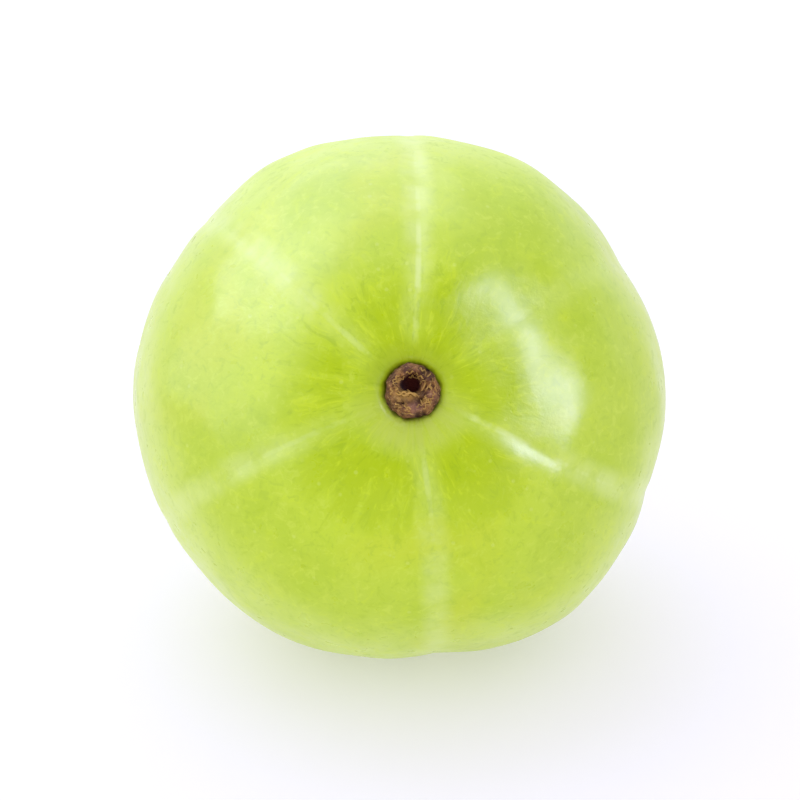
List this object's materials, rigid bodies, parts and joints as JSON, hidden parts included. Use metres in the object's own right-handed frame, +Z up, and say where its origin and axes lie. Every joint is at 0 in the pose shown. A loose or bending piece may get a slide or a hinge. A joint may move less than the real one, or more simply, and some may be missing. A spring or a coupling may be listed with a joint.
{
  "type": "indian gooseberry",
  "caption": "Whole fresh pale green Indian gooseberry (amla) with shallow furrows and a dry woody stem stub, lying on a small flat spot.",
  "frame": {"origin": "middle of the small flat spot on the fruit's side that it rests on", "axes": "+Z up; -Y towards the stem end, whose axis leans 30 degrees above the horizontal; +X to the right of a viewer who faces the stem end"},
  "size_m": [0.04, 0.0375, 0.0387],
  "materials": {
    "flesh": "smooth waxy skin, softly glossy and slightly translucent, pale yellow-green with paler furrow lines and fine mottling",
    "stub": "dry, fibrous, matt brown wood with a dark pit"
  },
  "bodies": {
    "root": {"fruit_flesh": "flesh", "stem_stub": "stub"}
  },
  "joints": []
}
